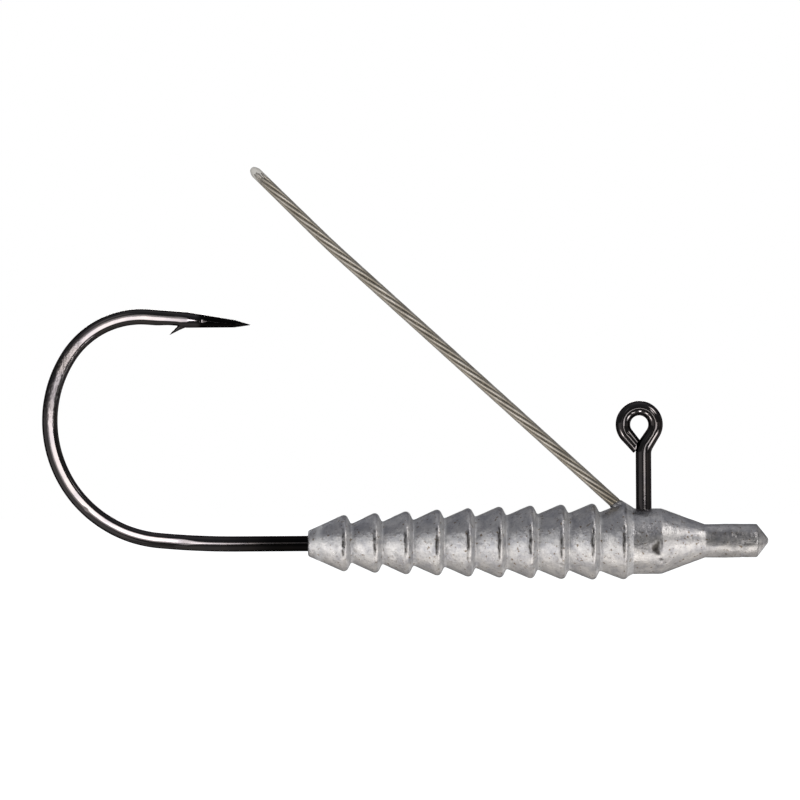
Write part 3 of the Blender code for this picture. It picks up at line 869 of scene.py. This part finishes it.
class Tree:
    """Short calls for a node tree."""

    def __init__(self, tree):
        self.tree = tree

    def add(self, kind, **values):
        """A new node with its settings, and its sockets' values by name."""
        node = self.tree.nodes.new(kind)
        for key, value in values.items():
            socket = node.inputs.get(key.replace("_", " "))
            if socket is not None:
                socket.default_value = value
            else:
                setattr(node, key, value)
        return node

    def join(self, source, socket):
        self.tree.links.new(source, socket)

    def ramp(self, fac, stops):
        node = self.add("ShaderNodeValToRGB")
        ramp = node.color_ramp
        while len(ramp.elements) < len(stops):
            ramp.elements.new(0.5)
        for element, (position, colour) in zip(ramp.elements, stops):
            element.position = position
            element.color = (*colour, 1)
        self.join(fac, node.inputs["Fac"])
        return node.outputs["Color"]

    def remap(self, value, low, high, to_low, to_high):
        node = self.add("ShaderNodeMapRange", From_Min=low, From_Max=high, To_Min=to_low, To_Max=to_high)
        self.join(value, node.inputs["Value"])
        return node.outputs["Result"]

    def blend_shaders(self, fac, first, second):
        node = self.add("ShaderNodeMixShader")
        self.join(fac, node.inputs[0])
        self.join(first.outputs[0], node.inputs[1])
        self.join(second.outputs[0], node.inputs[2])
        return node


class Nodes(Tree):
    """A Principled material and short calls for its node tree."""

    def __init__(self, name):
        self.material = bpy.data.materials.new(name)
        self.material.use_nodes = True
        super().__init__(self.material.node_tree)
        self.shader = self.tree.nodes["Principled BSDF"]
        self.place = self.add("ShaderNodeTexCoord").outputs["Object"]

    def fixed(self, **values):
        for key, value in values.items():
            self.shader.inputs[key.replace("_", " ")].default_value = value

    def noise(self, scale, detail=3.0, rough=0.55):
        node = self.add("ShaderNodeTexNoise", Scale=scale, Detail=detail, Roughness=rough)
        self.join(self.place, node.inputs["Vector"])
        return node.outputs["Fac"]

    def painted(self, name):
        return self.add("ShaderNodeAttribute", attribute_name=name).outputs["Fac"]

    def mix(self, fac, first, second, blend="MIX"):
        node = self.add("ShaderNodeMix", data_type="RGBA", blend_type=blend)
        for value, socket in ((fac, node.inputs[0]), (first, node.inputs[6]), (second, node.inputs[7])):
            if isinstance(value, (int, float)):
                socket.default_value = value
            elif isinstance(value, tuple):
                socket.default_value = (*value, 1)
            else:
                self.join(value, socket)
        return node.outputs[2]

    def bump(self, height, strength, distance, base=None):
        node = self.add("ShaderNodeBump", Strength=strength, Distance=distance)
        self.join(height, node.inputs["Height"])
        if base:
            self.join(base, node.inputs["Normal"])
        self.last_bump = node
        return node.outputs["Normal"]

    def drive(self, key, source):
        self.join(source, self.shader.inputs[key])


def lead_material():
    """Bare cast lead: blotched grey skin, fine grain, brown specks and small pits."""
    m = Nodes("cast_lead_skin")
    m.fixed(Metallic=1.0, Specular_Tint=(0.8, 0.8, 0.8, 1))
    blotches = ((0.34, (0.36, 0.36, 0.38)), (0.5, (0.47, 0.465, 0.47)), (0.66, (0.56, 0.55, 0.545)))
    tone = m.ramp(m.noise(900, 4, 0.6), blotches)
    grain = m.ramp(m.noise(5200, 3, 0.6), ((0.3, (0.62, 0.61, 0.62)), (0.5, (1, 1, 1))))
    tone = m.mix(0.55, tone, grain, "MULTIPLY")
    specks = m.ramp(m.noise(3400, 2, 0.5), ((0.63, (0, 0, 0)), (0.7, (1, 1, 1))))
    tone = m.mix(specks, tone, (0.2, 0.165, 0.13))
    # Painted shade: the skin darkened in the folds, pits, collar's mouth and on the pin
    tone = m.mix(m.remap(m.painted("painted_shade"), 0.1, 0.75, 0, 0.92), tone, (0.055, 0.05, 0.046))
    m.drive("Base Color", tone)
    m.drive("Metallic", m.remap(m.painted("front_wall"), 0, 1, 1, 0.45))
    m.drive("Roughness", m.remap(m.noise(1700, 3), 0.3, 0.7, 0.27, 0.44))
    coarse = m.bump(m.noise(1300, 3, 0.6), 0.45, 0.00012)
    middle = m.bump(m.noise(3400, 3, 0.6), 0.7, 0.00005, coarse)
    m.drive("Normal", m.bump(m.noise(8000, 2, 0.6), 0.7, 0.00002, middle))
    return m.material


def nickel_material():
    """Black nickel plate over drawn wire: glossy, with faint draw lines and handling marks."""
    m = Nodes("black_nickel_plate")
    m.fixed(Metallic=1.0, Specular_Tint=(0.3, 0.29, 0.3, 1))
    tone = m.ramp(m.noise(500, 3), ((0.35, (0.04, 0.038, 0.04)), (0.65, (0.052, 0.048, 0.047))))
    # Painted shade from the hook: darker ground point and shank end, with a painted highlight at the
    # smudge
    shade = m.ramp(m.painted("painted_plate_shade"), ((0, (0, 0, 0)), (1, (1, 1, 1))))
    m.drive("Base Color", m.mix(1.0, tone, shade, "MULTIPLY"))
    m.drive("Roughness", m.remap(m.noise(2600, 3, 0.6), 0.3, 0.7, 0.07, 0.11))
    fine = m.bump(m.noise(1500, 3, 0.5), 0.07, 0.00005)
    rubbed = m.bump(m.noise(2300, 3, 0.65), 0.5, 0.00009, fine)
    m.join(m.remap(m.painted("scuff"), 0, 1, 0, 0.85), m.last_bump.inputs["Strength"])
    m.drive("Normal", rubbed)
    return m.material


# Painted shade and highlight: from the dark gaps between the strands to their lit outer sides
STRAND_PAINTED_TONES = (
    (0, (0.36, 0.325, 0.26)),
    (0.4, (0.47, 0.435, 0.38)),
    (0.8, (0.56, 0.53, 0.49)),
    (1, (0.6, 0.575, 0.545)),
)
# From where the coating faces the eye to where it is looked through edgewise
NYLON_TINT = (
    (0.0, (0.8, 0.79, 0.77)),
    (0.55, (0.7, 0.69, 0.67)),
    (0.95, (0.34, 0.33, 0.32)),
)


def steel_material():
    """Drawn wire strands, warm grey, with painted shade down between them and a painted highlight on their
    outer sides.
    """
    m = Nodes("strand_steel")
    m.fixed(Metallic=0.68, Specular_Tint=(0.8, 0.78, 0.75, 1), Roughness=0.28)
    tone = m.ramp(m.painted("strand_painted_light"), STRAND_PAINTED_TONES)
    tarnish = m.ramp(m.noise(650, 2), ((0.38, (0.7, 0.68, 0.64)), (0.62, (1, 1, 1))))
    m.drive("Base Color", m.mix(1.0, tone, tarnish, "MULTIPLY"))
    return m.material


def nylon_material():
    """Clear nylon coating: seen through, greyer where it is looked through edgewise, and glossy."""
    m = Nodes("clear_nylon_skin")
    facing = m.add("ShaderNodeLayerWeight", Blend=0.5).outputs["Facing"]
    cloud = m.ramp(m.noise(900, 3), ((0.3, (0.9, 0.9, 0.9)), (0.7, (1, 1, 1))))
    through = m.add("ShaderNodeBsdfTransparent")
    m.join(m.mix(1.0, m.ramp(facing, NYLON_TINT), cloud, "MULTIPLY"), through.inputs["Color"])
    m.fixed(Base_Color=(0.42, 0.4, 0.37, 1), Roughness=0.3, IOR=1.5)
    haze = m.blend_shaders(m.remap(facing, 0, 1, 0.07, 0.35), through, m.shader)
    out = next(node for node in m.tree.nodes if node.type == "OUTPUT_MATERIAL")
    m.join(haze.outputs[0], out.inputs["Surface"])
    return m.material


# ---------------------------------------------------------------- studio

FRAME_WIDTH = 0.076
CAMERA_DISTANCE = 0.6
AIM = Vector((-0.02271, 0, 0.00247))
ROLL = radians(0.38)
FLOOR_SIZE = 6.0
FLOOR_HEIGHT = -0.12
WALL_RADIUS = 0.45
WALL_MIDDLE = 0.1
WALL_HALF_HEIGHT = 0.21
WALL_SIDES = 60
WALL_LEVELS = 30
# What the jig's metal reflects, by the height of the direction in degrees
WALL_TONES = (
    (-90, (0.6, 0.57, 0.54)),
    (-60, (0.8, 0.765, 0.73)),
    (-35, (0.38, 0.37, 0.36)),
    (-15, (0.22, 0.215, 0.21)),
    (12, (0.2, 0.2, 0.2)),
    (35, (0.28, 0.28, 0.3)),
    (60, (0.32, 0.325, 0.35)),
    (90, (0.62, 0.625, 0.65)),
)


def make_camera():
    data = bpy.data.cameras.new("camera")
    data.sensor_width = 36
    data.lens = 36 * CAMERA_DISTANCE / FRAME_WIDTH
    data.clip_start = 0.01
    data.clip_end = 20
    camera = link(bpy.data.objects.new("camera", data))
    right = Vector((cos(ROLL), 0, -sin(ROLL)))
    up = Vector((sin(ROLL), 0, cos(ROLL)))
    turn = Matrix((right, up, Vector((0, -1, 0)))).transposed()
    camera.matrix_world = Matrix.Translation(AIM - Vector((0, CAMERA_DISTANCE, 0))) @ turn.to_4x4()
    bpy.context.scene.camera = camera


def softbox(name, centre, aim, width, height, radiance, colour, spread=90, only=None):
    """A soft lamp of a stated brightness, aimed at a point; spread is half its fan in degrees."""
    data = bpy.data.lights.new(name, "AREA")
    data.shape = "RECTANGLE"
    data.size = width
    data.size_y = height
    data.energy = radiance * pi * width * height
    data.color = colour
    if spread < 90:
        fan = radians(spread)
        data.spread = 2 * fan
        data.energy *= (tan(fan) - fan) / tan(fan)
    lamp = link(bpy.data.objects.new(name, data))
    way = Vector(aim) - Vector(centre)
    lamp.rotation_euler = way.to_track_quat("-Z", "Y").to_euler()
    lamp.location = centre
    lamp.visible_camera = False
    if only:
        lamp.light_linking.receiver_collection = only
    return lamp


def around(turn, climb, distance=0.1, centre=(0, 0, 0)):
    """A place seen from a centre: turned from the camera toward the nose, and climbed, in degrees."""
    turn, climb = radians(turn), radians(climb)
    way = Vector((sin(turn) * cos(climb), -cos(turn) * cos(climb), sin(climb)))
    return Vector(centre) + way * distance


def group(name, *objects):
    collection = bpy.data.collections.new(name)
    for obj in objects:
        collection.objects.link(obj)
    return collection


def background_rays(tree):
    """1 for rays that should find the plain white background."""
    path = tree.add("ShaderNodeLightPath")
    rays = path.outputs["Is Camera Ray"]
    for kind in ("Is Glossy Ray", "Is Transmission Ray"):
        either = tree.add("ShaderNodeMath", operation="MAXIMUM")
        tree.join(rays, either.inputs[0])
        tree.join(path.outputs[kind], either.inputs[1])
        rays = either.outputs[0]
    return rays


def stage_material(name):
    """An empty material whose glow isn't sampled as a lamp, and its node tree."""
    material = bpy.data.materials.new(name)
    material.use_nodes = True
    material.node_tree.nodes.clear()
    material.cycles.emission_sampling = "NONE"
    return material, Tree(material.node_tree)


def make_world():
    world = bpy.data.worlds.new("studio")
    bpy.context.scene.world = world
    world.use_nodes = True
    world.node_tree.nodes.clear()
    tree = Tree(world.node_tree)
    fill = tree.add("ShaderNodeBackground", Color=(0.92, 0.96, 1, 1), Strength=0.45)
    white = tree.add("ShaderNodeBackground", Color=(1, 1, 1, 1), Strength=1.0)
    both = tree.blend_shaders(background_rays(tree), fill, white)
    tree.join(both.outputs[0], tree.add("ShaderNodeOutputWorld").inputs["Surface"])


def make_floor():
    """A pale floor below the jig. The camera sees it white, a little darker in the shadow."""
    material, tree = stage_material("pale_floor")
    pale = tree.add("ShaderNodeBsdfDiffuse", Color=(0.9, 0.9, 0.9, 1))
    glow = tree.add("ShaderNodeEmission", Strength=0.75)
    lit = tree.add("ShaderNodeAddShader")
    tree.join(pale.outputs[0], lit.inputs[0])
    tree.join(glow.outputs[0], lit.inputs[1])
    both = tree.blend_shaders(background_rays(tree), pale, lit)
    tree.join(both.outputs[0], tree.add("ShaderNodeOutputMaterial").inputs["Surface"])
    signs = ((-1, -1), (1, -1), (1, 1), (-1, 1))
    corners = [(x * FLOOR_SIZE, y * FLOOR_SIZE, FLOOR_HEIGHT) for x, y in signs]
    floor = new_object("floor", corners, [(0, 1, 2, 3)], material)


def make_flags():
    """Studio walls round the jig, for its reflections only, with an opening behind it."""
    material, tree = stage_material("studio_wall")
    unit = tree.add("ShaderNodeVectorMath", operation="NORMALIZE")
    tree.join(tree.add("ShaderNodeTexCoord").outputs["Object"], unit.inputs[0])
    split = tree.add("ShaderNodeSeparateXYZ")
    tree.join(unit.outputs[0], split.inputs[0])
    stops = [((sin(radians(climb)) + 1) / 2, colour) for climb, colour in WALL_TONES]
    tone = tree.ramp(tree.remap(split.outputs["Z"], -1, 1, 0, 1), stops)
    glow = tree.add("ShaderNodeEmission")
    tree.join(tone, glow.inputs["Color"])
    tree.join(glow.outputs[0], tree.add("ShaderNodeOutputMaterial").inputs["Surface"])
    sides, levels = WALL_SIDES, WALL_LEVELS
    vertices = []
    for i in range(levels + 1):
        tilt = -pi / 2 + pi * i / levels
        reach = WALL_RADIUS * cos(tilt)
        height = WALL_MIDDLE + WALL_HALF_HEIGHT * sin(tilt)
        for j in range(sides):
            turn = 2 * pi * (j + 0.5) / sides
            vertices.append((reach * sin(turn), reach * cos(turn), height))
    faces = []
    for i in range(levels):
        for j in range(sides):
            k = (j + 1) % sides
            opening = j in (0, sides - 2, sides - 1) and abs(i - levels // 2 + 3) <= 2
            if not opening:
                faces.append((i * sides + j, i * sides + k, (i + 1) * sides + k, (i + 1) * sides + j))
    flags = new_object("flags", vertices, faces, material)
    flags.visible_camera = False
    flags.visible_diffuse = False
    flags.visible_shadow = False
    flags.visible_transmission = False


def make_lamps(casting, hook, cable):
    """Lamps for the whole jig, and lamps that only the lead, the plated wire or the cable reflects."""
    cool = (0.92, 0.95, 1.0)
    warm = (1.0, 0.965, 0.93)
    pink = (1.0, 0.955, 0.95)
    eye = (0, 0, 0)
    body = (-0.01, 0, -0.011)
    head = (0.0, 0, -0.011)
    bend = (-0.052, 0, 0.001)
    wire = (-0.028, 0, 0)
    middle = (-0.02, 0, 0.008)
    lead = group("lead_only", casting)
    plate = group("plate_only", hook)
    strands = group("cable_only", *cable)
    # turn, climb and distance from the place that the lamp is aimed at, width, height and radiance
    for name, turn, climb, distance, aim, width, height, radiance, colour, spread, only in (
        ("left_front", -52, -27, 0.15, body, 0.14, 0.17, 1.6, (1.0, 0.985, 0.975), 90, lead),
        ("left_mid", -52, 15, 0.15, body, 0.12, 0.05, 0.9, (0.97, 0.98, 1.0), 90, lead),
        ("right_high", 42, 38, 0.14, head, 0.06, 0.07, 2.9, warm, 90, lead),
        ("right_low", 48, -22, 0.14, head, 0.09, 0.14, 1.9, warm, 90, lead),
        ("right_back", 122, 0, 0.15, head, 0.11, 0.14, 0.5, warm, 90, None),
        ("left_under", -46, -60, 0.11, body, 0.12, 0.06, 1.3, warm, 90, lead),
        ("right_under", 44, -58, 0.11, head, 0.05, 0.05, 1.5, warm, 90, lead),
        ("plate_left", -52, -22, 0.15, body, 0.14, 0.17, 0.7, pink, 90, plate),
        ("plate_back", 180, 14, 0.12, wire, 0.08, 0.03, 9.0, warm, 90, plate),
        ("bend_inside", 42, -36, 0.1, bend, 0.014, 0.014, 40.0, pink, 14, plate),
        ("neck_side", 62, 0, 0.1, eye, 0.06, 0.02, 0.3, (1.0, 0.86, 0.76), 90, plate),
        ("arm_side", 54, -26, 0.1, eye, 0.06, 0.06, 17.0, warm, 15, plate),
        ("arm_high", 52, 38, 0.1, eye, 0.034, 0.045, 24.0, warm, 15, plate),
        ("arm_front", 24, 20, 0.1, eye, 0.01, 0.016, 26.0, warm, 15, plate),
        ("left_side", -54, -22, 0.1, eye, 0.02, 0.03, 12.0, warm, 15, plate),
        ("left_low", -45, -41, 0.1, eye, 0.014, 0.018, 12.0, warm, 15, plate),
        ("rim_1", -47, -26, 0.1, eye, 0.009, 0.028, 44.0, warm, 15, plate),
        ("rim_2", -31, -42, 0.1, eye, 0.009, 0.028, 44.0, warm, 15, plate),
        ("rim_3", 0, -51, 0.1, eye, 0.012, 0.03, 54.0, warm, 15, plate),
        ("rim_4", 31, -42, 0.1, eye, 0.009, 0.028, 44.0, warm, 15, plate),
        ("rim_5", 47, -26, 0.1, eye, 0.009, 0.028, 38.0, warm, 15, plate),
        ("cable_card", -14, -22, 0.12, middle, 0.24, 0.24, 1.5, warm, 90, strands),
        ("cable_back", 180, 0, 0.12, middle, 0.14, 0.14, 1.2, warm, 90, strands),
        ("cable_glint", 0, 3, 0.12, middle, 0.024, 0.024, 7.0, warm, 90, strands),
    ):
        centre = around(turn, climb, distance, aim)
        softbox(name, centre, aim, width, height, radiance, colour, spread, only)
    # lamps at places of their own: centre, aim, width, height and radiance
    for name, centre, aim, width, height, radiance, colour, spread, only in (
        ("low_front", (0.012, -0.066, -0.08), (0.006, 0, -0.011), 0.05, 0.07, 1.0, warm, 90, lead),
        ("back_left", (0.12, 0.12, -0.06), body, 0.12, 0.12, 1.0, warm, 90, None),
        ("back_right", (-0.13, 0.11, 0.06), (-0.03, 0, 0), 0.1, 0.08, 1.0, cool, 90, None),
        ("neck_strip", (0.021, -0.1, -0.0035), (0, 0, -0.0035), 0.042, 0.011, 8.5, warm, 90, plate),
        ("bend_haze", (-0.088, -0.1, 0.07), (-0.052, 0, 0.006), 0.075, 0.06, 1.7, pink, 15, plate),
        ("bend_front", (-0.0575, -0.1, 0.001), (-0.0555, 0, 0.001), 0.036, 0.033, 16.0, pink, 20, plate),
        ("bend_soft", (-0.0695, -0.1, 0.004), (-0.0645, 0, 0.004), 0.054, 0.078, 7.5, pink, 26, plate),
        ("bend_low", (-0.062, -0.1, -0.026), (-0.0545, 0, -0.026), 0.034, 0.028, 26.0, pink, 8, plate),
        ("leg_front", (-0.036, -0.1, 0.011), (-0.046, 0, 0.011), 0.013, 0.018, 46.0, pink, 16, plate),
        ("shank_front", (-0.0425, -0.1, -0.011), (-0.0425, 0, -0.011), 0.006, 0.005, 2.4, pink, 16, plate),
    ):
        softbox(name, centre, aim, width, height, radiance, colour, spread, only)


# ---------------------------------------------------------------- whole scene


def main():
    lead = lead_material()
    nickel = nickel_material()
    steel = steel_material()
    nylon = nylon_material()

    casting = make_casting(lead)
    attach(casting, "jig")
    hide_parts("lead_body")

    hook = make_hook(nickel)
    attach(hook, "jig")
    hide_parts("hook")

    cable = [
        (make_coating(nylon), "coating", "clear_nylon"),
        (make_core(steel), "core_wire", "bright_steel"),
    ]
    for index in range(STRAND_COUNT):
        cable.append((make_strand(index, steel), f"wire_{index + 1}", "bright_steel"))
    for piece, node, slot in cable:
        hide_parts("guard_" + node, "anchored_" + node)
        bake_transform(piece)
    coating = cable[0][0]
    coating.visible_shadow = False

    make_camera()
    make_world()
    make_floor()
    make_flags()
    make_lamps(casting, hook, [piece for piece, _, _ in cable])
    bpy.context.scene.view_settings.view_transform = "Standard"


main()
